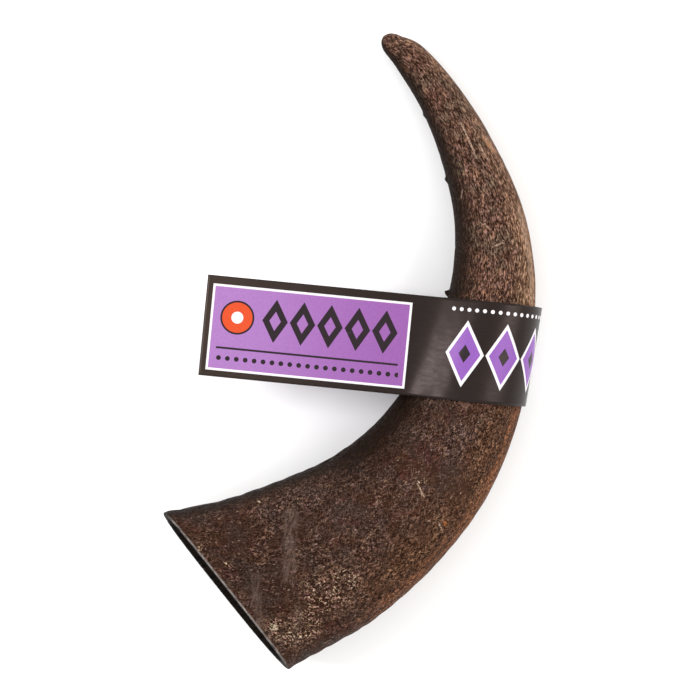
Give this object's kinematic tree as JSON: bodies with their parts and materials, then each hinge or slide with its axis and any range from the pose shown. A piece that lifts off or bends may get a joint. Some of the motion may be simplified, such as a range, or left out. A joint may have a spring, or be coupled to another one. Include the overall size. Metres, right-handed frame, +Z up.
{
  "type": "water buffalo horn with a card label",
  "caption": "Curved water buffalo horn, sawn off square and hollow at its broad end, with a plain printed card label wrapped round its middle.",
  "frame": {"origin": "under the middle of the whole part's box, on the surface that the horn lies on", "axes": "+Z up, +Y from the sawn end towards the tip, +X towards the outside of the bend"},
  "size_m": [0.1688, 0.2842, 0.058],
  "materials": {
    "horn": "satin",
    "printed_card": "satin"
  },
  "bodies": {
    "root": {"horn": "horn", "card_label": "printed_card"}
  },
  "joints": []
}
